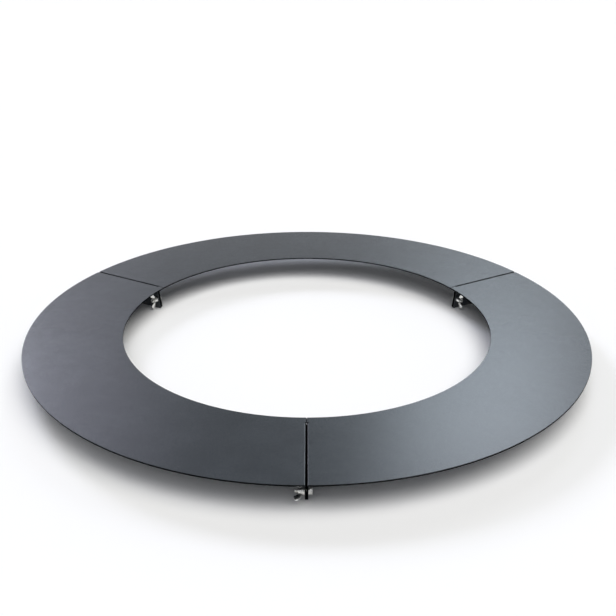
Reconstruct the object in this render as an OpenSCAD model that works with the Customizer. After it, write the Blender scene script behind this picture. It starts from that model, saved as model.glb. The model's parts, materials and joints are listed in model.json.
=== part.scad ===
// Tree ring edging: three flat sheet segments with folded end flanges, bolted into a ring.
// The ring stands on its flanges. The origin is on the ring's axis, at the ground.

/* [Ring] */
// Diameter over the outer rim
ring_d = 1000; // [880:10:1600]
// Diameter of the hole left for the tree
hole_d = 660; // [300:10:760]
// Height of the top face above the ground
top_h = 48; // [42:1:90]
// Thickness of the sheet
sheet_t = 2.5; // [1.5:0.5:4]
// Rounding of the sheet's edges at both rims
edge_r = 0.4; // [0.2:0.1:0.6]

/* [Seams] */
// Gap between the flanges of two neighbouring segments
seam_gap = 0; // [0:0.2:3]
// Inside radius of the fold between a segment's top and its flange
bend_r = 0.8; // [0.5:0.1:3]
// Distance from the hole's rim to the fold, which runs on to the outer rim
fold_in = 15; // [10:1:40]
// How far the flange's inner end reaches towards the hole from the fold down to the ground
lean_in = 7; // [-20:1:8]
// How far the flange's outer end draws back from the rim down to the ground
lean_out = 33; // [20:1:50]
// Radius of the flange's lower corners
corner_r = 6; // [2:1:12]
// Width of the relief slot where the fold stops short of the hole's rim
relief_w = 1.2; // [0.8:0.2:4]
// Depth of the relief slot past the fold
relief_depth = 0.6; // [0.4:0.2:4]

/* [Bolts] */
// Diameter of the bolts
bolt_d = 6; // [4:1:8]
// Distance from a flange's leaning ends to its bolts, level with the bolts
bolt_margin = 9; // [8:1:30]
// Clearance round a bolt in its flange hole, on the radius
hole_clear = 0.5; // [0.2:0.1:1]
// Width across the flats of the bolt's head
head_af = 10; // [9:0.5:13]
// Height of the bolt's head
head_h = 4; // [3:0.5:6]
// How far inside its flats the chamfer of the head's free face starts
head_chamfer = 0.2; // [0.1:0.1:0.5]
// Length of thread that stands out past the wing nut
thread_past = 4.75; // [1:0.05:8]
// Chamfer at the bolt's tip
tip_chamfer = 0.8; // [0.3:0.1:1.2]

/* [Washers] */
// Diameter of a washer
washer_d = 12; // [11:0.5:18]
// Thickness of a washer
washer_t = 1.6; // [1:0.2:2.4]
// Clearance round a bolt in its washer, on the radius
washer_clear = 0.2; // [0.1:0.1:0.6]
// Chamfer of a washer's outer edges
washer_chamfer = 0.25; // [0.1:0.05:0.4]

/* [Wing nuts] */
// Diameter of the nut's hub where it meets the washer
hub_d = 12; // [10:0.5:14]
// Diameter of the hub at its free end
hub_top_d = 10; // [9:0.5:12]
// Height of the hub
hub_h = 7; // [5:0.5:10]
// Chamfer of the hub's free edge and of both ends of its bore
hub_chamfer = 0.5; // [0.3:0.1:0.8]
// Width over both wings
wing_span = 32; // [28:1:38]
// Height of the wings' tips above the washer
wing_h = 13.5; // [11:0.5:18]
// Radius of a wing's rounded tip
wing_tip_r = 4.1; // [3:0.1:5]
// Thickness of a wing at its tip
wing_tip_t = 2; // [1.6:0.1:3]
// Thickness of a wing where it leaves the hub
wing_root_t = 3.6; // [3:0.1:5]
// Distance from the hub's ends to the wings' roots
wing_root_in = 0.8; // [0.5:0.1:1.5]
// Width of a wing at its neck, halfway out
wing_neck_w = 5.4; // [4.4:0.1:6.4]
// Thickness of a wing at its neck
wing_neck_t = 2.6; // [2:0.1:4]
// Rounding of the wings' edges
wing_edge_r = 0.4; // [0.2:0.1:0.6]
// Clearance between a bolt and its nut, on the radius
thread_clear = 0.05; // [0.02:0.01:0.1]
// Clearance between a wing nut and its washer, along the bolt
seat_clear = 0.05; // [0.03:0.01:0.2]
// Room between the ground and the wings as they turn
wing_room = 3; // [1:0.5:8]

/* [Hidden] */

// Roundness of the rims and of small turned parts
rim_fn = 240;
small_fn = 48;
wing_fn = 32;

// How far a cut runs on past what it cuts, and how deep a wing's root is set into the hub
past = 1;
root_depth = 1.5;

// The ring is cut into three equal segments, with seams at these angles
segment_angle = 120;
front_seam = 270;
rear_right_seam = 30;
rear_left_seam = 150;

powder_coat = [0.33, 0.36, 0.39];
zinc = [0.78, 0.79, 0.77];

ring_r = ring_d / 2;
hole_r = hole_d / 2;
bend_out_r = bend_r + sheet_t;
half_gap = seam_gap / 2;

fold_r = hole_r + fold_in;
flange_h = top_h - bend_out_r;

// A flange's ends on the ground, and its bolts
foot_r0 = fold_r - lean_in;
foot_r1 = ring_r - lean_out;
bolt_h = wing_span / 2 + wing_room;
inner_bolt_r = foot_r0 + lean_in * bolt_h / flange_h + bolt_margin;
outer_bolt_r = foot_r1 + lean_out * bolt_h / flange_h - bolt_margin;

// Distances from the middle of a seam, along a bolt
flange_face = half_gap + sheet_t;
washer_face = flange_face + washer_t;
nut_seat = washer_face + seat_clear;
bolt_end = nut_seat + hub_h + thread_past;

// One row for each bolt: seam angle, distance from the ring's axis, and side and turn of its wing nut.
// Side 1 puts the nut on the side of growing angles, side -1 on the other.
front_inner = [front_seam, inner_bolt_r, -1, 40];
front_outer = [front_seam, outer_bolt_r, -1, -18];
rear_right_inner = [rear_right_seam, inner_bolt_r, -1, 86];
rear_right_outer = [rear_right_seam, outer_bolt_r, -1, 65];
rear_left_inner = [rear_left_seam, inner_bolt_r, 1, -86];
rear_left_outer = [rear_left_seam, outer_bolt_r, 1, -30];

// Outline of the sheet, cut through radially, with its edges rounded
module sheet_section() {
    translate([hole_r + edge_r, 0]) square([ring_r - hole_r - 2 * edge_r, sheet_t]);
    translate([hole_r, edge_r]) square([ring_r - hole_r, sheet_t - 2 * edge_r]);
    for (x = [hole_r + edge_r, ring_r - edge_r], y = [edge_r, sheet_t - edge_r])
        translate([x, y]) circle(edge_r, $fn = small_fn);
}

// Flat ring of sheet, whole
module flat_ring() {
    translate([0, 0, top_h - sheet_t]) rotate_extrude($fn = rim_fn) sheet_section();
}

// Space on one side of a seam at angle 0, out to past the rim
module half_space(side) {
    translate([-ring_d, side > 0 ? 0 : -ring_d, 0]) cube([2 * ring_d, ring_d, top_h + past]);
}

// What is cut from the flat sheet for one fold and its relief slot.
// The seam is the X axis and the sheet lies towards +Y.
module fold_cut() {
    depth = half_gap + bend_out_r + relief_depth;
    translate([fold_r - relief_w, -past, top_h - sheet_t - past])
        cube([ring_r - fold_r + relief_w + past, depth + past, sheet_t + 2 * past]);
}

// The fold seen along the seam: X is away from the seam, Y is up
module fold_section() {
    translate([half_gap + bend_out_r, top_h - sheet_t]) square([relief_depth, sheet_t]);
    translate([half_gap + bend_out_r, flange_h]) intersection() {
        difference() {
            circle(bend_out_r, $fn = small_fn);
            circle(bend_r, $fn = small_fn);
        }
        translate([-bend_out_r, 0]) square(bend_out_r);
    }
}

// Round lower corner of a flange whose end draws back by lean: its angle, how far from the corner the
// rounding starts, and the point on the end where it starts
function corner_angle(lean) = 90 + atan(lean / flange_h);
function corner_reach(lean) = corner_r / tan(corner_angle(lean) / 2);
function on_end(foot, lean, side) =
    [foot + side * corner_reach(lean) * sin(atan(lean / flange_h)),
     corner_reach(lean) * cos(atan(lean / flange_h))];

// Flange seen square to the seam: X is away from the ring's axis, Y is up
module flange_outline() {
    ground_0 = foot_r0 + corner_reach(-lean_in);
    ground_1 = foot_r1 - corner_reach(lean_out);
    difference() {
        union() {
            polygon([
                [fold_r, flange_h],
                on_end(foot_r0, -lean_in, -1),
                [ground_0, 0],
                [ground_1, 0],
                on_end(foot_r1, lean_out, 1),
                [ring_r, flange_h]
            ]);
            translate([ground_0, corner_r]) circle(corner_r, $fn = small_fn);
            translate([ground_1, corner_r]) circle(corner_r, $fn = small_fn);
        }
        for (r = [inner_bolt_r, outer_bolt_r])
            translate([r, bolt_h]) circle(bolt_d / 2 + hole_clear, $fn = small_fn);
    }
}

// Fold and folded-down flange with its two bolt holes, on the +Y side of a seam along X
module end_flange() {
    translate([fold_r, 0, 0])
        rotate([90, 0, 90]) linear_extrude(ring_r - fold_r) fold_section();
    translate([0, flange_face, 0]) rotate([90, 0, 0]) linear_extrude(sheet_t) flange_outline();
}

// One segment, from its first seam at angle 0 round to the next
module segment_shape() {
    difference() {
        intersection() {
            flat_ring();
            translate([0, half_gap, 0]) half_space(1);
            rotate([0, 0, segment_angle]) translate([0, -half_gap, 0]) half_space(-1);
        }
        fold_cut();
        rotate([0, 0, segment_angle]) mirror([0, 1, 0]) fold_cut();
    }
    end_flange();
    rotate([0, 0, segment_angle]) mirror([0, 1, 0]) end_flange();
}

module segment(first_seam) {
    color(powder_coat) rotate([0, 0, first_seam]) segment_shape();
}

// Puts a fastener at its place: its Z runs along the bolt from the middle of the seam to the nut
module at_place(place) {
    rotate([0, 0, place[0]]) translate([place[1], 0, bolt_h])
        rotate([place[2] > 0 ? -90 : 90, 0, 0]) children();
}

// Hexagon head with its free edge chamfered, standing on Z = 0 and reaching down
module hex_head() {
    corner = head_af / sqrt(3);
    flat = head_af / 2 - head_chamfer;
    intersection() {
        translate([0, 0, -head_h]) cylinder(h = head_h, r = corner, $fn = 6);
        rotate_extrude($fn = small_fn)
            polygon([
                [0, -head_h],
                [flat, -head_h],
                [corner, (corner - flat) * tan(30) - head_h],
                [corner, 0],
                [0, 0]
            ]);
    }
}

module bolt(place) {
    shank_r = bolt_d / 2;
    color(zinc) at_place(place) {
        translate([0, 0, -washer_face]) hex_head();
        rotate_extrude($fn = small_fn)
            polygon([
                [0, -washer_face],
                [shank_r, -washer_face],
                [shank_r, bolt_end - tip_chamfer],
                [shank_r - tip_chamfer, bolt_end],
                [0, bolt_end]
            ]);
    }
}

// Washer lying on Z = 0
module washer_shape() {
    inner = bolt_d / 2 + washer_clear;
    outer = washer_d / 2;
    rotate_extrude($fn = small_fn)
        polygon([
            [inner, 0],
            [outer - washer_chamfer, 0],
            [outer, washer_chamfer],
            [outer, washer_t - washer_chamfer],
            [outer - washer_chamfer, washer_t],
            [inner, washer_t]
        ]);
}

module head_washer(place) {
    color(zinc) at_place(place) translate([0, 0, -washer_face]) washer_shape();
}

module nut_washer(place) {
    color(zinc) at_place(place) translate([0, 0, flange_face]) washer_shape();
}

// Hub of a wing nut, standing on Z = 0 with its bore along Z
module hub() {
    bore = bolt_d / 2 + thread_clear;
    rotate_extrude($fn = small_fn)
        polygon([
            [bore + hub_chamfer, 0],
            [hub_d / 2, 0],
            [hub_top_d / 2, hub_h - hub_chamfer],
            [hub_top_d / 2 - hub_chamfer, hub_h],
            [bore + hub_chamfer, hub_h],
            [bore, hub_h - hub_chamfer],
            [bore, hub_chamfer]
        ]);
}

// Flat round station of a wing with its edges drawn in, in the plane of the wings
module wing_disc(centre, radius, thickness) {
    translate([centre[0], 0, centre[1]]) rotate([90, 0, 0]) {
        cylinder(h = thickness - 2 * wing_edge_r, r = radius, center = true, $fn = wing_fn);
        cylinder(h = thickness, r = radius - wing_edge_r, center = true, $fn = wing_fn);
    }
}

// One wing, a loft from the hub through its neck to its rounded tip
module wing() {
    root = [hub_top_d / 2, hub_h / 2];
    tip = [wing_span / 2 - wing_tip_r, wing_h - wing_tip_r];
    neck = (root + tip) / 2;
    hull() {
        translate([root[0] - root_depth / 2, 0, root[1]])
            cube([root_depth, wing_root_t, hub_h - 2 * wing_root_in], center = true);
        wing_disc(neck, wing_neck_w / 2, wing_neck_t);
    }
    hull() {
        wing_disc(neck, wing_neck_w / 2, wing_neck_t);
        wing_disc(tip, wing_tip_r, wing_tip_t);
    }
}

module wing_nut(place) {
    color(zinc) at_place(place) translate([0, 0, nut_seat]) rotate([0, 0, place[3]]) {
        hub();
        wing();
        mirror([1, 0, 0]) wing();
    }
}

segment(rear_left_seam);  // segment_front_left
segment(front_seam);  // segment_front_right
segment(rear_right_seam);  // segment_rear
bolt(front_inner);  // bolt_front_inner
bolt(front_outer);  // bolt_front_outer
bolt(rear_right_inner);  // bolt_rear_right_inner
bolt(rear_right_outer);  // bolt_rear_right_outer
bolt(rear_left_inner);  // bolt_rear_left_inner
bolt(rear_left_outer);  // bolt_rear_left_outer
head_washer(front_inner);  // head_washer_front_inner
head_washer(front_outer);  // head_washer_front_outer
head_washer(rear_right_inner);  // head_washer_rear_right_inner
head_washer(rear_right_outer);  // head_washer_rear_right_outer
head_washer(rear_left_inner);  // head_washer_rear_left_inner
head_washer(rear_left_outer);  // head_washer_rear_left_outer
nut_washer(front_inner);  // nut_washer_front_inner
nut_washer(front_outer);  // nut_washer_front_outer
nut_washer(rear_right_inner);  // nut_washer_rear_right_inner
nut_washer(rear_right_outer);  // nut_washer_rear_right_outer
nut_washer(rear_left_inner);  // nut_washer_rear_left_inner
nut_washer(rear_left_outer);  // nut_washer_rear_left_outer
wing_nut(front_inner);  // wing_nut_front_inner
wing_nut(front_outer);  // wing_nut_front_outer
wing_nut(rear_right_inner);  // wing_nut_rear_right_inner
wing_nut(rear_right_outer);  // wing_nut_rear_right_outer
wing_nut(rear_left_inner);  // wing_nut_rear_left_inner
wing_nut(rear_left_outer);  // wing_nut_rear_left_outer
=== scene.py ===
"""Looks of the tree ring edging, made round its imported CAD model.

Three flat sheet segments with folded-down end flanges are held together, at each seam, by two
bolts with washers and wing nuts. Lengths are metres in the frame of the CAD model: +Z is up, the
origin is on the ring's axis at the ground, and the front seam lies towards -Y.
"""

from __future__ import annotations

import json
import logging
import math
from collections.abc import Iterable, Mapping, Sequence
from dataclasses import dataclass, field
from enum import Enum

import bmesh
import bpy
from bmesh.types import BMEdge, BMesh, BMFace, BMLayerItem, BMVert
from bpy.types import ID, Material, Node, NodeSocket, NodeTree, Object
from mathutils import Matrix, Vector

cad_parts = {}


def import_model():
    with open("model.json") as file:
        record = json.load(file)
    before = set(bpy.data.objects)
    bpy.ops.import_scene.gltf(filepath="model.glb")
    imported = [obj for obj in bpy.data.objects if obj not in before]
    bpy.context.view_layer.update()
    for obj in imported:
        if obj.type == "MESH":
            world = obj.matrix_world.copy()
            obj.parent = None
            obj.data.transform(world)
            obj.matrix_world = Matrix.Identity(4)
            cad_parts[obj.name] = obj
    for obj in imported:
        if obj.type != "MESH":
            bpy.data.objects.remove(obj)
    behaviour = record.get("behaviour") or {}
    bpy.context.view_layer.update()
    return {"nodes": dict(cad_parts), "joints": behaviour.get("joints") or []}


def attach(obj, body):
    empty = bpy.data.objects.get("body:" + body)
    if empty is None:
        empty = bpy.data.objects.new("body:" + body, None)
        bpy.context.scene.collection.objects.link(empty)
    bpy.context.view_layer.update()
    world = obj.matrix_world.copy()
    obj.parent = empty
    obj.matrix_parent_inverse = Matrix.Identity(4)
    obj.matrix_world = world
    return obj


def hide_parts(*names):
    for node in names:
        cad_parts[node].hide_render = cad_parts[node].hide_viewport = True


LOG = logging.getLogger("tree_ring_edging")
PAINTED_EDGE_SHADE = "bare_edge"

MM = 0.001
DEG = math.pi / 180
TURN = math.tau
SAME_POINT = 0.001 * MM
SAME_LEVEL = 0.01 * MM

Colour = tuple[float, float, float]
Point = tuple[float, float, float]
Span = tuple[float, float]


class Slot(Enum):
    """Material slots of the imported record."""

    POWDER_COAT = "powder_coat"
    ZINC = "zinc"


class Seam(Enum):
    """The three seams between the segments."""

    FRONT = "front"
    REAR_RIGHT = "rear_right"
    REAR_LEFT = "rear_left"


class Row(Enum):
    """The two bolts of a seam: near the hole and near the outer rim."""

    INNER = "inner"
    OUTER = "outer"


class Signal:
    """A number on a shader socket. Arithmetic on it adds Math nodes."""

    def __init__(self, graph: Graph, socket: NodeSocket) -> None:
        """Wraps a socket.

        Args:
            graph: the node tree that the socket is in.
            socket: an output socket that carries a number.
        """
        self.graph = graph
        self.socket = socket

    def _math(self, operation: str, *values: Signal | float) -> Signal:
        """Adds one Math node and returns its result."""
        node = self.graph.node("ShaderNodeMath", {"operation": operation}, dict(enumerate(values)))
        return Signal(self.graph, node.outputs[0])

    def __add__(self, other: Signal | float) -> Signal:
        """Adds a number."""
        return self._math("ADD", self, other)

    __radd__ = __add__

    def __sub__(self, other: Signal | float) -> Signal:
        """Subtracts a number."""
        return self._math("SUBTRACT", self, other)

    def __rsub__(self, other: Signal | float) -> Signal:
        """Subtracts this signal from a number."""
        return self._math("SUBTRACT", other, self)

    def __mul__(self, other: Signal | float) -> Signal:
        """Multiplies by a number."""
        return self._math("MULTIPLY", self, other)

    __rmul__ = __mul__


class Graph:
    """The node tree of one material or world."""

    def __init__(self, tree: NodeTree) -> None:
        """Empties the tree.

        Args:
            tree: the node tree to fill.
        """
        self.tree = tree
        tree.nodes.clear()

    def node(
        self,
        kind: str,
        settings: Mapping[str, object] | None = None,
        sockets: Mapping[int | str, object] | None = None,
    ) -> Node:
        """Adds a node.

        Args:
            kind: the node's type, such as ShaderNodeMath.
            settings: the node's own properties, which are set first.
            sockets: a value, a signal or a socket for each input named.

        Returns:
            The new node.
        """
        made = self.tree.nodes.new(kind)
        for name, value in (settings or {}).items():
            setattr(made, name, value)
        for key, value in (sockets or {}).items():
            self.feed(made.inputs[key], value)
        return made

    def feed(self, socket: NodeSocket, value: object) -> None:
        """Links or sets one input socket.

        Args:
            socket: the input.
            value: a signal or a socket to link, or a constant.
        """
        if isinstance(value, Signal):
            self.tree.links.new(value.socket, socket)
        elif isinstance(value, NodeSocket):
            self.tree.links.new(value, socket)
        else:
            socket.default_value = value

    def signal(self, kind: str, output: int | str, *args: Mapping) -> Signal:
        """Adds a node and wraps one of its outputs.

        Args:
            kind: the node's type.
            output: the output's number or name.
            *args: the node's settings and sockets, as in node().

        Returns:
            The output as a signal.
        """
        return Signal(self, self.node(kind, *args).outputs[output])

    def noise(self, where: object, size: float, detail: float, rough: float = 0.5) -> Signal:
        """Adds a noise between 0 and 1.

        Args:
            where: the socket with the coordinates.
            size: the width of one lump.
            detail: how many finer layers are added.
            rough: how strong the finer layers are.

        Returns:
            The noise's value.
        """
        sockets = {"Vector": where, "Scale": 1 / size, "Detail": detail, "Roughness": rough}
        return self.signal("ShaderNodeTexNoise", 0, {}, sockets)

    def ease(self, value: Signal, span: Span) -> Signal:
        """Adds a smooth step from 0 to 1.

        Args:
            value: the signal to read.
            span: where the step leaves 0 and where it reaches 1.

        Returns:
            The step's value.
        """
        settings = {"interpolation_type": "SMOOTHSTEP"}
        sockets = {"Value": value, "From Min": span[0], "From Max": span[1]}
        return self.signal("ShaderNodeMapRange", 0, settings, sockets)

    def seen(self) -> Signal:
        """Tells apart what the camera sees, directly or in reflections and glass.

        Returns:
            A signal that is 1 for such rays and 0 otherwise.
        """
        path = self.node("ShaderNodeLightPath")
        rays = ("Is Camera Ray", "Is Glossy Ray", "Is Transmission Ray")
        camera, glossy, through = (Signal(self, path.outputs[ray]) for ray in rays)
        return camera + glossy + through

    def blend(self, share: Signal, first: object, second: object) -> NodeSocket:
        """Mixes two colours.

        Args:
            share: how much of the second colour shows, from 0 to 1.
            first: a colour or a colour's socket.
            second: a colour or a colour's socket.

        Returns:
            The mixed colour's socket.
        """
        mix = self.node("ShaderNodeMix", {"data_type": "RGBA"})
        self.feed(mix.inputs[0], share)
        for number, value in ((6, first), (7, second)):
            self.feed(mix.inputs[number], (*value, 1) if isinstance(value, tuple) else value)
        return mix.outputs[2]

    def bump(self, height: Signal, relief: float) -> NodeSocket:
        """Adds a fine relief.

        Args:
            height: the relief, from 0 to 1.
            relief: how high 1 stands.

        Returns:
            The socket with the bumped normal.
        """
        sockets = {"Strength": 1.0, "Distance": relief, "Height": height}
        return self.node("ShaderNodeBump", {}, sockets).outputs[0]

    def surface(self, kind: str, sockets: Mapping[int | str, object]) -> None:
        """Adds the shader and the output of a material.

        Args:
            kind: the shader node's type.
            sockets: the values or links of the shader's inputs.
        """
        shader = self.node(kind, {}, sockets)
        self.node("ShaderNodeOutputMaterial", {}, {"Surface": shader.outputs[0]})


@dataclass(frozen=True)
class PowderCoat:
    """Fine anthracite powder coat on sheet steel, with painted shade: a matt near-black on cut
    edges, on the downward part of edge roundings and in the seam creases.
    """

    colour: Colour = (0.037, 0.043, 0.049)
    cloud_colour: Colour = (0.042, 0.049, 0.056)
    dust_colour: Colour = (0.115, 0.105, 0.092)
    painted_shade_colour: Colour = (0.004, 0.0045, 0.005)
    roughness: float = 0.27
    cloud_roughness: float = 0.03
    grain_roughness: float = 0.08
    dust_roughness: float = 0.3
    cloud_size: float = 90 * MM
    cloud_span: Span = (0.3, 0.7)
    peel_size: float = 2.6 * MM
    grain_size: float = 0.55 * MM
    grain_share: float = 0.4
    relief: float = 0.012 * MM
    dust_height: float = 14 * MM
    dust_size: float = 7.8 * MM
    dust_span: Span = (0.42, 0.66)
    dust_share: float = 0.5

    def material(self) -> Material:
        """Makes the material.

        Returns:
            A material that reads Object coordinates.
        """
        made = new_material("powder_coat")
        graph = Graph(made.node_tree)
        where = graph.node("ShaderNodeTexCoord").outputs["Object"]
        height = graph.signal("ShaderNodeSeparateXYZ", "Z", {}, {"Vector": where})
        clouds = graph.noise(where, self.cloud_size, detail=3)
        grain = graph.noise(where, self.grain_size, detail=2)
        peel = graph.noise(where, self.peel_size, detail=1)
        patches = graph.noise(where, self.dust_size, detail=4, rough=0.6)
        near_ground = 1 - graph.ease(height, (0, self.dust_height))
        dust = near_ground * graph.ease(patches, self.dust_span) * self.dust_share
        coat = graph.blend(graph.ease(clouds, self.cloud_span), self.colour, self.cloud_colour)
        uneven = (clouds - 0.5) * self.cloud_roughness + (grain - 0.5) * self.grain_roughness
        face = graph.node(
            "ShaderNodeBsdfPrincipled",
            {},
            {
                "Base Color": graph.blend(dust, coat, self.dust_colour),
                "Roughness": self.roughness + uneven + dust * self.dust_roughness,
                "Normal": graph.bump(grain * self.grain_share + peel, self.relief),
            },
        )
        # Marked faces take a near-black matt diffuse: painted shade on cut edges, lower roundings
        # and seam creases
        edge = graph.node("ShaderNodeBsdfDiffuse", {}, {"Color": (*self.painted_shade_colour, 1)})
        cut = graph.signal("ShaderNodeAttribute", "Fac", {"attribute_name": PAINTED_EDGE_SHADE})
        graph.surface("ShaderNodeMixShader", {0: cut, 1: face.outputs[0], 2: edge.outputs[0]})
        return made


@dataclass(frozen=True)
class ZincPlate:
    """Bright zinc plating on steel fasteners."""

    colour: Colour = (0.82, 0.83, 0.82)
    warm_colour: Colour = (0.76, 0.75, 0.70)
    roughness: float = 0.27
    cloud_roughness: float = 0.12
    grain_roughness: float = 0.1
    cloud_size: float = 4 * MM
    cloud_span: Span = (0.35, 0.7)
    grain_size: float = 0.35 * MM
    relief: float = 0.01 * MM

    def material(self) -> Material:
        """Makes the material.

        Returns:
            A material that reads Object coordinates.
        """
        made = new_material("zinc")
        graph = Graph(made.node_tree)
        where = graph.node("ShaderNodeTexCoord").outputs["Object"]
        clouds = graph.noise(where, self.cloud_size, detail=3)
        grain = graph.noise(where, self.grain_size, detail=3, rough=0.6)
        warmth = graph.ease(clouds, self.cloud_span)
        uneven = (clouds - 0.5) * self.cloud_roughness + (grain - 0.5) * self.grain_roughness
        graph.surface(
            "ShaderNodeBsdfPrincipled",
            {
                "Base Color": graph.blend(warmth, self.colour, self.warm_colour),
                "Metallic": 1.0,
                "Roughness": self.roughness + uneven,
                "Normal": graph.bump(grain, self.relief),
            },
        )
        return made


@dataclass(frozen=True)
class PaleFloor:
    """Plain white studio floor, which throws little light back up under the ring."""

    colour: Colour = (0.93, 0.93, 0.93)
    bounce_colour: Colour = (0.40, 0.40, 0.40)

    def material(self) -> Material:
        """Makes the material.

        Returns:
            A material with one colour for what is seen and a darker one for the light it throws.
        """
        made = new_material("floor")
        graph = Graph(made.node_tree)
        colour = graph.blend(graph.seen(), self.bounce_colour, self.colour)
        graph.surface("ShaderNodeBsdfDiffuse", {"Color": colour})
        return made


def new_material(name: str) -> Material:
    """Makes an empty material with nodes.

    Args:
        name: the material's name.

    Returns:
        The material.
    """
    made = bpy.data.materials.new(name)
    made.use_nodes = True
    return made


def new_object(name: str, data: ID) -> Object:
    """Makes an object at the origin and links it to the scene.

    Args:
        name: the object's name.
        data: its mesh, light or camera.

    Returns:
        The object.
    """
    made = bpy.data.objects.new(name, data)
    bpy.context.scene.collection.objects.link(made)
    return made


def shell_object(shell: BMesh, name: str, material: Material, crease: float = 30 * DEG) -> Object:
    """Turns a finished shell into a smooth-shaded object, and frees the shell.

    Args:
        shell: the closed shell, in its final place.
        name: the object's name.
        material: the finish of all its faces.
        crease: the angle past which an edge is shaded sharp.

    Returns:
        The object.
    """
    bmesh.ops.recalc_face_normals(shell, faces=shell.faces)
    for face in shell.faces:
        face.smooth = True
    mesh = bpy.data.meshes.new(name)
    shell.to_mesh(mesh)
    shell.free()
    mesh.set_sharp_from_angle(angle=crease)
    mesh.materials.append(material)
    return new_object(name, mesh)


def across(point: Vector) -> float:
    """Distance of a point from the Z axis."""
    return math.hypot(point.x, point.y)


def only(kind: type, parts: Iterable[object]) -> list:
    """Picks the parts of one kind, such as BMEdge, from what an operator gives back."""
    return [part for part in parts if isinstance(part, kind)]


def chain(shell: BMesh, places: Sequence[Point], closed: bool = False) -> list[BMVert | BMEdge]:
    """Joins a row of new points by edges.

    Args:
        shell: the shell to add to.
        places: the points in order.
        closed: whether the last point joins the first.

    Returns:
        The points and the edges.
    """
    points = [shell.verts.new(place) for place in places]
    ends = points[1:] + points[:1] if closed else points[1:]
    return points + [shell.edges.new(pair) for pair in zip(points, ends)]


def spin(
    shell: BMesh,
    parts: Sequence[BMVert | BMEdge],
    angle: float,
    steps: int,
    centre: Point = (0, 0, 0),
    axis: Point = (0, 0, 1),
    climb: float = 0,
    full: bool = False,
) -> list[BMVert | BMEdge]:
    """Spins an outline into faces.

    Args:
        shell: the shell that the outline is in.
        parts: the outline's points and edges, or its edges alone.
        angle: how far it turns.
        steps: how many faces it makes on the way.
        centre: a point on the axis.
        axis: the direction of the axis.
        climb: how far each step moves up Z.
        full: whether its end meets its start.

    Returns:
        The outline's parts at the end of the turn.
    """
    return bmesh.ops.spin(
        shell,
        geom=parts,
        cent=centre,
        axis=axis,
        dvec=(0, 0, climb),
        angle=angle,
        steps=steps,
        use_merge=full,
        use_duplicate=False,
    )["geom_last"]


def lathe(shell: BMesh, profile: Sequence[Span], steps: int, closed: bool) -> None:
    """Spins a profile once round Z.

    Args:
        shell: the shell to add to.
        profile: points of (radius, height).
        steps: how many faces go round.
        closed: whether the last point joins the first.
    """
    outline = chain(shell, [(radius, 0, height) for radius, height in profile], closed)
    spin(shell, outline, TURN, steps, full=True)
    bmesh.ops.remove_doubles(shell, verts=shell.verts, dist=SAME_POINT)


def round_off(
    shell: BMesh,
    parts: Sequence[BMVert | BMEdge],
    offset: float,
    steps: int,
    affect: str = "EDGES",
) -> list[BMFace]:
    """Rounds edges or corners.

    Args:
        shell: the shell that they are in.
        parts: the edges or the corners.
        offset: how far from them the rounding starts.
        steps: how many faces it has across.
        affect: EDGES, or VERTICES for the corners of a flat outline.

    Returns:
        The faces of the rounding.
    """
    return bmesh.ops.bevel(
        shell,
        geom=parts,
        offset=offset,
        offset_type="OFFSET",
        affect=affect,
        segments=steps,
        profile=0.5,
        material=-1,
    )["faces"]


@dataclass(frozen=True)
class Place:
    """Where one bolt sits, with its washers and its wing nut.

    In a place's own frame Z runs along the bolt from the middle of the seam to the wing nut, and X
    points away from the ring's axis.
    """

    seam: Seam
    row: Row
    point: Vector
    axis: Vector

    @classmethod
    def read(cls, seam: Seam, row: Row, joints: Sequence[Mapping]) -> Place:
        """Finds a place from the joint that its wing nut turns on.

        Args:
            seam: the seam that the bolt is at.
            row: which of the seam's bolts it is.
            joints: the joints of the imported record.

        Returns:
            The place.
        """
        name = f"nut_turn_{seam.value}_{row.value}"
        joint = next(joint for joint in joints if joint["name"] == name)
        return cls(seam, row, Vector(joint["pos_m"]), Vector(joint["axis"]).normalized())

    @property
    def name(self) -> str:
        """The end of the names of this place's nodes and bodies."""
        return f"{self.seam.value}_{self.row.value}"

    @property
    def matrix(self) -> Matrix:
        """Brings a piece from the place's own frame to the ring's.

        Returns:
            The matrix.
        """
        outward = Vector((self.point.x, self.point.y, 0)).normalized()
        turned = Matrix((outward, self.axis.cross(outward), self.axis)).transposed()
        return Matrix.Translation(self.point) @ turned.to_4x4()

    def corners(self, node: Object) -> list[Vector]:
        """Reads the corners of a CAD node in the place's own frame."""
        back = self.matrix.inverted()
        return [back @ corner.co for corner in node.data.vertices]


@dataclass
class Washer:
    """Plain punched washer."""

    place: Place
    cad: Object
    body: str
    edge: float = 0.3 * MM
    steps: int = 72
    edge_steps: int = 3

    def build(self, material: Material) -> None:
        """Makes the washer in place of its CAD node.

        Args:
            material: the washer's finish.
        """
        corners = self.place.corners(self.cad)
        inner = min(map(across, corners))
        outer = max(map(across, corners))
        low = min(corner.z for corner in corners)
        high = max(corner.z for corner in corners)
        shell = bmesh.new()
        profile = [(inner, low), (outer, low), (outer, high), (inner, high)]
        lathe(shell, profile, self.steps, closed=True)
        rims = [edge for edge in shell.edges if self._runs_round(edge)]
        round_off(shell, rims, self.edge, self.edge_steps)
        bmesh.ops.transform(shell, matrix=self.place.matrix, verts=shell.verts)
        made = crisp(shell_object(shell, f"{self.cad.name}_zinc", material))
        fit(made, self.body, self.cad.name)

    @staticmethod
    def _runs_round(edge: BMEdge) -> bool:
        """Tells the edges along the rims from those across the faces and the walls.

        Args:
            edge: an edge of the washer.

        Returns:
            Whether both its ends lie on one circle.
        """
        first, second = (end.co for end in edge.verts)
        level = abs(first.z - second.z) < SAME_LEVEL
        return level and abs(across(first) - across(second)) < SAME_LEVEL


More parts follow.
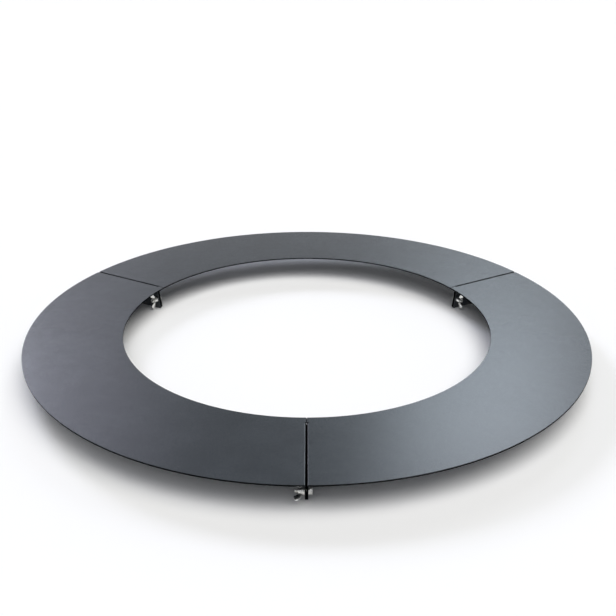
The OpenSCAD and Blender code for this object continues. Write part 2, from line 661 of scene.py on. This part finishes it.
@dataclass
class HexBolt:
    """Fully threaded bolt with a hexagon head."""

    place: Place
    cad: Object
    head_washer: Object
    body: str
    pitch: float = 1.0 * MM
    thread_share: float = 0.6134
    flanks: tuple[float, ...] = (0, 1 / 8, 7 / 16, 9 / 16, 7 / 8, 1)
    thread_steps: int = 32
    tip_chamfer: float = 0.8 * MM
    tip_radius: float = 1 * MM
    head_steps: int = 72
    head_edge: float = 0.15 * MM
    face_inset: float = 0.25 * MM
    head_slope: float = 30 * DEG
    corner_wear: float = 0.14 * MM

    def build(self, material: Material) -> None:
        """Makes the bolt in place of its CAD node.

        Args:
            material: the bolt's finish.
        """
        corners = self.place.corners(self.cad)
        bearing = min(corner.z for corner in self.place.corners(self.head_washer))
        above_head = bearing / 2
        thread = max(across(corner) for corner in corners if corner.z > above_head)
        head = [corner for corner in corners if corner.z < above_head]
        flat = max(abs(corner.y) for corner in head)
        top = min(corner.z for corner in head)
        tip = max(corner.z for corner in corners)
        shell = bmesh.new()
        self._add_head(shell, flat, top, bearing)
        self._add_thread(shell, thread, bearing - self.head_edge * 2, tip)
        bmesh.ops.transform(shell, matrix=self.place.matrix, verts=shell.verts)
        made = crisp(shell_object(shell, f"{self.cad.name}_zinc", material, crease=20 * DEG))
        fit(made, self.body, self.cad.name)

    def _add_head(self, shell: BMesh, flat: float, top: float, bearing: float) -> None:
        """Adds the hexagon head.

        Args:
            shell: the shell to add to.
            flat: distance from the axis to a flat.
            top: height of the free face.
            bearing: height of the face that lies on the washer.
        """
        corner = flat / math.cos(TURN / 12)
        face = flat - self.face_inset
        wall_top = top + (corner - face) * math.tan(self.head_slope)
        profile = [
            (0, top),
            (face, top),
            (corner, wall_top),
            (corner, bearing - self.head_edge),
            (corner - self.head_edge, bearing),
            (0, bearing),
        ]
        lathe(shell, profile, self.head_steps, closed=False)
        for point in [point for point in shell.verts if across(point.co) > face + SAME_LEVEL]:
            angle = math.atan2(point.co.y, point.co.x) % (TURN / 6) - TURN / 12
            reach = min(flat / math.cos(angle), corner - self.corner_wear)
            old = across(point.co)
            new = old - corner + reach
            if abs(point.co.z - wall_top) < SAME_LEVEL:
                point.co.z = top + (new - face) * math.tan(self.head_slope)
            point.co.x *= new / old
            point.co.y *= new / old

    def _add_thread(self, shell: BMesh, radius: float, start: float, tip: float) -> None:
        """Adds the threaded shank, a helix of one flank profile cut off square at both ends.

        Args:
            shell: the shell to add to.
            radius: outer radius of the thread.
            start: height inside the head where the thread begins.
            tip: height of the bolt's end.
        """
        root = radius - self.thread_share * self.pitch
        radii = (root, root, radius, radius, root, root)
        levels = [start + (share - 1) * self.pitch for share in self.flanks]
        rod = bmesh.new()
        outline = chain(rod, [(reach, 0, level) for reach, level in zip(radii, levels)])
        turns = math.ceil((tip - start) / self.pitch) + 2
        climb = self.pitch / self.thread_steps
        spin(rod, outline, TURN * turns, self.thread_steps * turns, climb=climb)
        bmesh.ops.remove_doubles(rod, verts=rod.verts, dist=SAME_POINT)
        for point in rod.verts:
            most = max(radius - (point.co.z - tip + self.tip_chamfer), self.tip_radius)
            if across(point.co) > most:
                shrink = most / across(point.co)
                point.co.x *= shrink
                point.co.y *= shrink
        for height, way in ((start, -1), (tip, 1)):
            cut = bmesh.ops.bisect_plane(
                rod,
                geom=[*rod.verts, *rod.edges, *rod.faces],
                plane_co=(0, 0, height),
                plane_no=(0, 0, way),
                clear_outer=True,
            )
            bmesh.ops.contextual_create(rod, geom=only(BMEdge, cut["geom_cut"]))
        append(shell, rod)


def append(shell: BMesh, part: BMesh) -> None:
    """Adds a second closed shell to a first, and frees the second.

    Args:
        shell: the shell to add to.
        part: the shell that is added.
    """
    carrier = bpy.data.meshes.new("carrier")
    part.to_mesh(carrier)
    part.free()
    shell.from_mesh(carrier)
    bpy.data.meshes.remove(carrier)


@dataclass(frozen=True)
class WingSection:
    """One station of a wing: its middle, how far its plane leans out, and its half sizes."""

    reach: float
    rise: float
    lean: float
    height: float
    thickness: float

    @property
    def matrix(self) -> Matrix:
        """Brings a section from the origin to its station, at its real size.

        Returns:
            The matrix.
        """
        place = Matrix.Translation((self.reach, 0, self.rise))
        size = Matrix.Diagonal((MM, self.thickness, self.height, 1))
        return place @ Matrix.Rotation(-self.lean, 4, "Y") @ size


@dataclass
class WingNut:
    """Forged wing nut, a turned hub with two ears drawn out of it."""

    place: Place
    cad: Object
    body: str
    sides: int = 16
    levels: int = 2
    hub_taper: float = 1 * MM
    mouth_chamfer: float = 0.5 * MM
    bore_edge: float = 0.9 * MM
    crown_edge: float = 0.35 * MM
    foot_edge: float = 0.4 * MM
    # Shares of the hub's height at which its wall has points, and where the wings' stretch starts
    hub_steps: tuple[float, ...] = (0.06, 0.2, 0.52, 0.86, 0.97)
    neck_share: float = 0.86
    # How the hub's corners, its wall, its seat and its mouth are told apart from the rest
    hub_share: float = 5 / 12
    wall_share: float = 0.8
    seat_depth: float = 0.1 * MM
    mouth_width: float = 1 * MM
    sections: tuple[WingSection, ...] = (
        WingSection(7.2 * MM, 4.4 * MM, 25 * DEG, 2.5 * MM, 1.75 * MM),
        WingSection(9.0 * MM, 6.1 * MM, 42 * DEG, 2.9 * MM, 1.3 * MM),
        WingSection(10.9 * MM, 8.5 * MM, 50 * DEG, 4.1 * MM, 1.15 * MM),
        WingSection(12.6 * MM, 10.6 * MM, 52 * DEG, 3.9 * MM, 1.1 * MM),
        WingSection(14.0 * MM, 12.3 * MM, 52 * DEG, 2.2 * MM, 0.85 * MM),
    )

    def build(self, material: Material) -> None:
        """Makes the wing nut in place of its CAD node.

        Args:
            material: the nut's finish.
        """
        corners = self.place.corners(self.cad)
        seat = min(corner.z for corner in corners)
        tip = max(corner.z for corner in corners)
        span = max(map(across, corners))
        turned = self._turn(corners)
        hub = [corner for corner in corners if across(corner) < span * self.hub_share]
        bore = min(map(across, hub))
        foot = max(across(corner) for corner in hub if corner.z < seat + self.seat_depth)
        crown = self._crown(hub, bore)
        shell = self._cage(foot, bore, crown - seat)
        smooth = self._smoothed(shell, material)
        self._stretch(smooth, span, tip - seat, crown - seat)
        seated = Matrix.Translation((0, 0, seat)) @ Matrix.Rotation(turned, 4, "Z")
        bmesh.ops.transform(smooth, matrix=self.place.matrix @ seated, verts=smooth.verts)
        made = shell_object(smooth, f"{self.cad.name}_zinc", material, crease=50 * DEG)
        fit(made, self.body, self.cad.name)

    @staticmethod
    def _turn(corners: Sequence[Vector]) -> float:
        """Reads how far the wings are turned, from the spread of the CAD nut's corners.

        Args:
            corners: the corners in the place's own frame.

        Returns:
            The angle of the wings round the bolt.
        """
        mixed = sum(2 * corner.x * corner.y for corner in corners)
        plain = sum(corner.x**2 - corner.y**2 for corner in corners)
        return math.atan2(mixed, plain) / 2

    def _crown(self, hub: Sequence[Vector], bore: float) -> float:
        """Height of the hub's free face, the top of the CAD nut's bore."""
        return max(corner.z for corner in hub if across(corner) < bore + self.mouth_width)

    def _cage(self, foot: float, bore: float, height: float) -> BMesh:
        """Makes the coarse shell that is smoothed into the nut.

        Args:
            foot: radius of the hub on the washer.
            bore: radius of the bore.
            height: height of the hub.

        Returns:
            The shell, standing on Z = 0 with its wings along X.
        """
        # Smoothing draws a ring of points inwards by the inverse of this
        grow = 3 / (2 + math.cos(TURN / self.sides))
        wall = [(foot - self.hub_taper * step, height * step) for step in self.hub_steps]
        mouth = bore + self.mouth_chamfer
        inside = [
            (foot - self.hub_taper - self.crown_edge, height),
            (mouth, height),
            (bore, height - self.mouth_chamfer),
            (bore, height - self.bore_edge),
            (bore, self.bore_edge),
            (bore, self.mouth_chamfer),
            (mouth, 0),
            (foot - self.foot_edge, 0),
        ]
        shell = bmesh.new()
        profile = [(radius * grow, level) for radius, level in wall + inside]
        lathe(shell, profile, self.sides, closed=True)
        low, high = (height * self.hub_steps[number] for number in (1, 3))
        for way in (1, -1):
            self._draw_wing(shell, way, (low + high) / 2, (high - low) / 2, foot * grow)
        bmesh.ops.recalc_face_normals(shell, faces=shell.faces)
        return shell

    def _draw_wing(self, shell: BMesh, way: int, middle: float, half: float, foot: float) -> None:
        """Draws one wing out of two by two faces of the hub.

        Args:
            shell: the hub's shell.
            way: 1 for the wing towards +X, -1 for the other.
            middle: height of the middle of the faces.
            half: half the height of the faces.
            foot: radius of the hub's foot.
        """
        width = foot * math.sin(TURN / self.sides)
        region = [face for face in shell.faces if self._under_wing(face, way, middle, half, foot)]
        before = WingSection(foot, middle, 0, half, width)
        side = Matrix.Diagonal((way, 1, 1, 1))
        for section in self.sections:
            drawn = bmesh.ops.extrude_face_region(shell, geom=region)["geom"]
            bmesh.ops.delete(shell, geom=region, context="FACES")
            region = only(BMFace, drawn)
            move = side @ section.matrix @ before.matrix.inverted() @ side
            bmesh.ops.transform(shell, matrix=move, verts=only(BMVert, drawn))
            before = section

    def _under_wing(self, face: BMFace, way: int, middle: float, half: float, foot: float) -> bool:
        """Finds the faces of the hub that a wing grows from.

        Args:
            face: a face of the hub.
            way: 1 for the wing towards +X, -1 for the other.
            middle: height of the middle of such faces.
            half: half the height of such faces.
            foot: radius of the hub's foot.

        Returns:
            Whether the face is one of them.
        """
        spot = face.calc_center_median()
        beside = abs(math.atan2(spot.y, spot.x * way)) < TURN / self.sides
        return beside and abs(spot.z - middle) < half and across(spot) > foot * self.wall_share

    def _smoothed(self, cage: BMesh, material: Material) -> BMesh:
        """Subdivides the cage into the smooth shell, and frees the cage.

        Args:
            cage: the coarse shell.
            material: the nut's finish.

        Returns:
            The smooth shell.
        """
        made = shell_object(cage, "wing_nut_cage", material)
        smoother = made.modifiers.new("smooth", "SUBSURF")
        smoother.levels = self.levels
        smoother.render_levels = self.levels
        graph = bpy.context.evaluated_depsgraph_get()
        mesh = bpy.data.meshes.new_from_object(made.evaluated_get(graph))
        shell = bmesh.new()
        shell.from_mesh(mesh)
        cage_mesh = made.data
        bpy.data.objects.remove(made)
        bpy.data.meshes.remove(cage_mesh)
        bpy.data.meshes.remove(mesh)
        return shell

    def _stretch(self, shell: BMesh, span: float, tip: float, crown: float) -> None:
        """Brings the wings to their span and height, and leaves the hub as it is.

        Args:
            shell: the smooth shell.
            span: distance from the axis to a wing's end.
            tip: height of the wings.
            crown: height of the hub.
        """
        reach = max(abs(point.co.x) for point in shell.verts)
        rise = max(point.co.z for point in shell.verts)
        neck = crown * self.neck_share
        for point in shell.verts:
            out = abs(point.co.x) - crown
            if out > 0:
                point.co.x *= 1 + (span / reach - 1) * out / (reach - crown)
            if point.co.z > neck and out > 0:
                point.co.z = neck + (point.co.z - neck) * (tip - neck) / (rise - neck)


def crisp(piece: Object) -> Object:
    """Makes the flat faces of a piece shade flat beside its rounded edges.

    Args:
        piece: the piece.

    Returns:
        The piece.
    """
    weights = piece.modifiers.new("flat_faces", "WEIGHTED_NORMAL")
    weights.mode = "FACE_AREA"
    weights.keep_sharp = True
    return piece


def fit(piece: Object, body: str, node: str) -> None:
    """Makes a piece ride on its body, in place of its CAD node.

    Args:
        piece: the piece, in its place.
        body: the CAD body that it moves with.
        node: the CAD node that it stands for.
    """
    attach(piece, body)
    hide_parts(node)
    LOG.info("built %s on %s", piece.name, body)


@dataclass
class BoltedSeamPoint:
    """One bolt with its head washer, nut washer and wing nut."""

    place: Place
    nodes: Mapping[str, Object]

    def build(self, material: Material) -> None:
        """Makes the four pieces.

        Args:
            material: their finish.
        """
        name = self.place.name
        head_washer = self.nodes[f"head_washer_{name}"]
        HexBolt(self.place, self.nodes[f"bolt_{name}"], head_washer, "ring").build(material)
        Washer(self.place, head_washer, "ring").build(material)
        Washer(self.place, self.nodes[f"nut_washer_{name}"], f"washer_{name}").build(material)
        WingNut(self.place, self.nodes[f"wing_nut_{name}"], f"nut_{name}").build(material)


@dataclass
class Segment:
    """One sheet segment, a flat sector with a folded-down flange at each of its two seams.

    Its first half is modelled with the seam along X and the sheet towards +Y. It is mirrored into
    the second half, given its thickness, and turned to its place.
    """

    cad: Object
    bolts: Sequence[Place]
    # The sheet, its fold and the outline of its flange
    sheet: float = 2.5 * MM
    half_angle: float = 60 * DEG
    bend: float = 0.5 * MM
    fold_in: float = 15 * MM
    lean_in: float = 7 * MM
    lean_out: float = 33 * MM
    corner: float = 6 * MM
    slot_width: float = 1.2 * MM
    slot_depth: float = 0.6 * MM
    hole: float = 3.5 * MM
    edge: float = 0.4 * MM
    # How far the skin is drawn back at the seams, and where painted shade darkens the folds and
    # the roundings
    seam_ease: float = 0.8 * MM
    tab_ease: float = 0.6 * MM
    crease_shade_start: float = 2.6 * MM
    crease_shade_full: float = 1.4 * MM
    lit_rounding: float = 0.8
    # How finely it is divided
    hole_margin: float = 1.6
    arc_steps: int = 60
    bend_steps: int = 12
    corner_steps: int = 8
    hole_steps: int = 32
    edge_steps: int = 3
    # Read from the CAD node
    mouth: float = field(init=False)
    rim: float = field(init=False)
    top: float = field(init=False)
    fold: float = field(init=False)
    bend_out: float = field(init=False)
    flange: float = field(init=False)

    def __post_init__(self) -> None:
        """Reads the ring's sizes from the corners of the CAD node."""
        corners = [corner.co for corner in self.cad.data.vertices]
        self.mouth = min(map(across, corners))
        self.rim = max(map(across, corners))
        self.top = max(corner.z for corner in corners)
        self.fold = self.mouth + self.fold_in
        self.bend_out = self.bend + self.sheet
        self.flange = self.top - self.bend_out

    def build(self, material: Material) -> None:
        """Makes the segment in place of its CAD node.

        Args:
            material: the segment's finish.
        """
        shell = bmesh.new()
        self._spread(shell)
        self._trim(shell, self.fold - self.slot_width, self.fold, self.bend_out + self.slot_depth)
        line = self._trim(shell, self.fold, self.rim, self.bend_out)
        self._fold_down(shell, line)
        self._pierce(shell)
        self._double(shell)
        self._thicken(shell)
        self._open_seams(shell)
        first = self.bolts[0].point
        turned = Matrix.Rotation(math.atan2(first.y, first.x) + self.half_angle, 3, "Z")
        bmesh.ops.rotate(shell, verts=shell.verts, matrix=turned)
        made = crisp(shell_object(shell, f"{self.cad.name}_coated", material))
        fit(made, "ring", self.cad.name)

    def _spread(self, shell: BMesh) -> None:
        """Spins the top face of the first half, with an edge at each side of the relief slot.

        Args:
            shell: the half's shell.
        """
        stations = (self.mouth, self.fold - self.slot_width, self.fold, self.rim)
        outline = chain(shell, [(reach, 0, self.top) for reach in stations])
        spin(shell, outline, self.half_angle, self.arc_steps)

    @staticmethod
    def _trim(shell: BMesh, near: float, far: float, depth: float) -> list[BMEdge]:
        """Cuts the sheet back from the seam, between two radii.

        Args:
            shell: the half's shell.
            near: the smaller radius.
            far: the larger radius.
            depth: how far the sheet is cut back.

        Returns:
            The edges along the cut.
        """
        band = [face for face in shell.faces if near < across(face.calc_center_median()) < far]
        parts = {*band}
        for face in band:
            parts.update(face.edges, face.verts)
        cut = bmesh.ops.bisect_plane(
            shell, geom=list(parts), plane_co=(0, depth, 0), plane_no=(0, 1, 0)
        )
        waste = []
        for face in shell.faces:
            middle = face.calc_center_median()
            if near < across(middle) < far and middle.y < depth:
                waste.append(face)
        bmesh.ops.delete(shell, geom=waste, context="FACES")
        return [edge for edge in only(BMEdge, cut["geom_cut"]) if edge.is_valid]

    def _fold_down(self, shell: BMesh, line: list[BMEdge]) -> None:
        """Bends the sheet down along the seam and draws the flange to the ground.

        Args:
            shell: the half's shell.
            line: the edges where the bend starts.
        """
        centre = (0, self.bend_out, self.flange)
        bent = spin(shell, line, TURN / 4, self.bend_steps, centre, axis=(1, 0, 0))
        drawn = bmesh.ops.extrude_edge_only(shell, edges=only(BMEdge, bent))["geom"]
        feet = sorted(only(BMVert, drawn), key=lambda foot: foot.co.x)
        # Both ends lean towards the hole, so the flange grows there and shrinks at the rim
        for foot, end, lean in zip(feet, (self.fold, self.rim), (-self.lean_in, self.lean_out)):
            foot.co = (end - abs(lean), 0, 0)
            corner_angle = TURN / 4 + math.atan(lean / self.flange)
            offset = self.corner / math.tan(corner_angle / 2)
            round_off(shell, [foot], offset, self.corner_steps, "VERTICES")

    def _pierce(self, shell: BMesh) -> None:
        """Gives the flange its bolt holes.

        Args:
            shell: the half's shell.
        """
        flange = [face for face in shell.faces if self._in_flange(face)]
        rims = [edge for face in flange for edge in face.edges]
        bmesh.ops.delete(shell, geom=flange, context="FACES_ONLY")
        for bolt in self.bolts:
            middle = Vector((across(bolt.point), 0, bolt.point.z))
            place = Matrix.Translation(middle) @ Matrix.Rotation(TURN / 4, 4, "X")
            circle = bmesh.ops.create_circle(
                shell, cap_ends=False, segments=self.hole_steps, radius=self.hole, matrix=place
            )["verts"]
            edges = list({edge for point in circle for edge in point.link_edges})
            drawn = bmesh.ops.extrude_edge_only(shell, edges=edges)["geom"]
            outer = only(BMVert, drawn)
            size = (self.hole_margin,) * 3
            bmesh.ops.scale(shell, vec=size, space=Matrix.Translation(-middle), verts=outer)
            links = {edge for point in outer for edge in point.link_edges}
            rims += [edge for edge in links if all(end in outer for end in edge.verts)]
        bmesh.ops.triangle_fill(shell, edges=rims, use_beauty=True, normal=(0, -1, 0))

    def _in_flange(self, face: BMFace) -> bool:
        """Whether a face of the half is the flat face of its flange."""
        flat = all(abs(corner.co.y) < SAME_POINT for corner in face.verts)
        return flat and face.calc_center_median().z < self.flange

    def _double(self, shell: BMesh) -> None:
        """Mirrors the half, so that the middle of the segment lies along X.

        Args:
            shell: the half's shell.
        """
        turned = Matrix.Rotation(-self.half_angle, 3, "Z")
        bmesh.ops.rotate(shell, verts=shell.verts, matrix=turned)
        bmesh.ops.mirror(
            shell,
            geom=[*shell.verts, *shell.edges, *shell.faces],
            matrix=Matrix.Identity(4),
            merge_dist=SAME_POINT,
            axis="Y",
        )
        bmesh.ops.remove_doubles(shell, verts=shell.verts, dist=SAME_POINT)
        bmesh.ops.recalc_face_normals(shell, faces=shell.faces)
        if sum(face.normal.z * face.calc_area() for face in shell.faces) < 0:
            bmesh.ops.reverse_faces(shell, faces=shell.faces)

    def _thicken(self, shell: BMesh) -> None:
        """Gives the sheet its thickness and its rounded edges, and marks the faces that get
        painted shade: the walls of the cut and the downward part of the rounding.

        Args:
            shell: the segment's outer skin, with its middle along X.
        """
        mark = shell.faces.layers.float.new(PAINTED_EDGE_SHADE)
        rims = [edge for edge in shell.edges if edge.is_boundary]
        skin = set(shell.faces)
        bmesh.ops.solidify(shell, geom=shell.faces, thickness=self.sheet)
        # The walls of the cut are painted near-black as shade
        for edge in rims:
            for face in edge.link_faces:
                face[mark] = float(face not in skin)
        # Only the part of the rounding that faces up keeps the coat; the rest is painted
        # near-black as shade
        for face in self._round_edges(shell):
            face[mark] = float(face.normal.z < self.lit_rounding)
        self._paint_crease_shade(shell, mark)

    def _inward(self, way: int) -> Vector:
        """Direction from the seam at one end of the segment into its sheet."""
        return Matrix.Rotation(way * self.half_angle, 3, "Z") @ Vector((0, -way, 0))

    def _paint_crease_shade(self, shell: BMesh, mark: BMLayerItem) -> None:
        """Paints shade into the folds as a matt near-black, more and more towards the seam.

        Args:
            shell: the segment's shell, with its middle along X.
            mark: the layer of the marks.
        """
        for way in (-1, 1):
            inward = self._inward(way)
            for face in shell.faces:
                middle = face.calc_center_median()
                depth = middle.dot(inward)
                if depth < self.crease_shade_start and across(middle) > self.fold:
                    share = (self.crease_shade_start - depth) / (self.crease_shade_start - self.crease_shade_full)
                    face[mark] = min(share, 1)

    def _open_seams(self, shell: BMesh) -> None:
        """Draws the top of the outer skin back from both seams, so that each is a dark groove.

        Neighbouring flanges still meet at the ground and at their inner ends, and the tabs between
        the fold and the hole meet at their lower edges.

        Args:
            shell: the segment's shell, with its middle along X.
        """
        tab_foot = self.top - self.sheet + self.edge
        for way in (-1, 1):
            inward = self._inward(way)
            for point in shell.verts:
                depth = point.co.dot(inward)
                if depth > self.sheet:
                    continue
                reach = across(point.co)
                if reach < self.fold:
                    opened = self.tab_ease * max(point.co.z - tab_foot, 0) / (self.top - tab_foot)
                else:
                    spread = (reach - self.fold) / (self.rim - self.fold)
                    opened = self.seam_ease * spread * point.co.z / self.top
                point.co += inward * opened * (1 - depth / self.sheet)

    def _round_edges(self, shell: BMesh) -> list[BMFace]:
        """Rounds the edges of the sheet, apart from those of its bolt holes.

        Args:
            shell: the segment's shell, with its middle along X.

        Returns:
            The faces of the rounding.
        """
        bmesh.ops.recalc_face_normals(shell, faces=shell.faces)
        seams = [Matrix.Rotation(way * self.half_angle, 4, "Z") for way in (-1, 1)]
        holes = [Vector((across(bolt.point), 0, bolt.point.z)) for bolt in self.bolts]
        middles = [seam @ hole for seam in seams for hole in holes]
        keep = self.hole + self.sheet * 2
        rims = []
        for edge in shell.edges:
            spot = (edge.verts[0].co + edge.verts[1].co) / 2
            clear = min((spot - middle).length for middle in middles) > keep
            if clear and edge.calc_face_angle(0) > TURN / 6:
                rims.append(edge)
        rounded = round_off(shell, rims, self.edge, self.edge_steps)
        shell.normal_update()
        return rounded


@dataclass
class SheetRing:
    """The three sheet segments that stand in a ring."""

    nodes: Mapping[str, Object]
    places: Sequence[Place]
    first_seams: tuple[tuple[str, Seam], ...] = (
        ("segment_front_left", Seam.REAR_LEFT),
        ("segment_front_right", Seam.FRONT),
        ("segment_rear", Seam.REAR_RIGHT),
    )

    def build(self, material: Material) -> None:
        """Makes the segments.

        Args:
            material: their finish.
        """
        for name, seam in self.first_seams:
            bolts = [place for place in self.places if place.seam is seam]
            Segment(self.nodes[name], bolts).build(material)


@dataclass
class PhotoCamera:
    """Camera at the photograph's place and angle."""

    frame_px: float = 616
    focal_px: float = 886
    sensor: float = 36
    place: Point = (0.002, -1.464, 0.7375)
    pitch: float = 24.26 * DEG
    near: float = 0.01
    far: float = 100

    def build(self) -> None:
        """Makes the camera and gives it to the scene."""
        data = bpy.data.cameras.new("camera")
        data.sensor_width = self.sensor
        data.lens = self.focal_px / self.frame_px * self.sensor
        data.clip_start = self.near
        data.clip_end = self.far
        made = new_object("camera", data)
        made.location = self.place
        made.rotation_euler = (TURN / 4 - self.pitch, 0, 0)
        bpy.context.scene.camera = made


@dataclass(frozen=True)
class SoftSun:
    """A broad distant light, such as a softbox far off."""

    name: str
    azimuth: float
    elevation: float
    spread: float
    strength: float
    colour: Colour = (1, 1, 1)

    def build(self) -> None:
        """Makes the light. Its azimuth is counted to the right of +Y."""
        data = bpy.data.lights.new(self.name, "SUN")
        data.angle = self.spread
        data.energy = self.strength
        data.color = self.colour
        made = new_object(self.name, data)
        level = math.cos(self.elevation)
        towards = Vector(
            (
                math.sin(self.azimuth) * level,
                math.cos(self.azimuth) * level,
                math.sin(self.elevation),
            )
        )
        made.rotation_mode = "QUATERNION"
        made.rotation_quaternion = towards.to_track_quat("Z", "Y")
        made.visible_camera = False


@dataclass
class Studio:
    """Plain pale room: a floor, soft lights and a low even glow all round."""

    floor_radius: float = 30
    floor_sides: int = 96
    suns: tuple[SoftSun, ...] = (
        SoftSun("key_light", 180 * DEG, 60 * DEG, 60 * DEG, 1.325, (0.95, 0.96, 1)),
        SoftSun("side_light", 120 * DEG, 70 * DEG, 60 * DEG, 1.6, (0.98, 0.965, 0.915)),
        SoftSun("right_softbox", 12.5 * DEG, 31 * DEG, 12 * DEG, 0.168, (0.75, 0.89, 1)),
        SoftSun("right_softbox_top", 15 * DEG, 36 * DEG, 14 * DEG, 0.106, (0.93, 0.92, 1)),
        SoftSun("right_softbox_side", 20 * DEG, 28 * DEG, 14 * DEG, 0.028, (0.82, 0.89, 1)),
        SoftSun("left_softbox", -32 * DEG, 28 * DEG, 16 * DEG, 1.07, (0.82, 0.85, 1)),
        SoftSun("left_softbox_side", -18 * DEG, 30 * DEG, 12 * DEG, 0.052, (0.83, 0.80, 1)),
    )
    sky_colour: Colour = (0.95, 0.965, 1)
    sky_back: float = 0.86
    sky_front: float = 0.45
    back_span: Span = (-0.2, 0.9)
    raised_span: Span = (0.05, 0.25)
    dim_span: Span = (0.15, 0.6)
    haze_span: Span = (0.06, 0.16)

    def build(self) -> None:
        """Makes the floor, the lights and the sky."""
        bpy.context.scene.view_settings.view_transform = "Standard"
        self._lay_floor()
        for sun in self.suns:
            sun.build()
        self._paint_sky()

    def _lay_floor(self) -> None:
        """Makes the floor, a flat disc at the ground."""
        shell = bmesh.new()
        bmesh.ops.create_circle(
            shell, cap_ends=True, segments=self.floor_sides, radius=self.floor_radius
        )
        floor = shell_object(shell, "floor", PaleFloor().material())

    def _paint_sky(self) -> None:
        """Lights the scene from low down all round, more from the back, with a white horizon."""
        world = bpy.data.worlds.new("studio")
        world.use_nodes = True
        bpy.context.scene.world = world
        graph = Graph(world.node_tree)
        direction = graph.node("ShaderNodeTexCoord").outputs["Generated"]
        way = graph.node("ShaderNodeSeparateXYZ", {}, {"Vector": direction})
        height = Signal(graph, way.outputs["Z"])
        back = graph.ease(Signal(graph, way.outputs["Y"]), self.back_span)
        raised = graph.ease(height, self.raised_span)
        low = 1 - graph.ease(height, self.dim_span)
        haze = 1 - graph.ease(height, self.haze_span)
        glow = low * (self.sky_front + (self.sky_back - self.sky_front) * back * raised)
        glow = glow + (1 - glow) * haze
        sockets = {"Color": (*self.sky_colour, 1), "Strength": glow}
        sky = graph.node("ShaderNodeBackground", {}, sockets)
        graph.node("ShaderNodeOutputWorld", {}, {"Surface": sky.outputs[0]})


def main() -> None:
    """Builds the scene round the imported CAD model."""
    logging.basicConfig(level=logging.INFO, format="%(message)s")
    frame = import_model()
    PhotoCamera().build()
    Studio().build()
    places = [Place.read(seam, row, frame["joints"]) for seam in Seam for row in Row]
    SheetRing(frame["nodes"], places).build(PowderCoat().material())
    zinc = ZincPlate().material()
    for place in places:
        BoltedSeamPoint(place, frame["nodes"]).build(zinc)


if __name__ == "__main__":
    main()
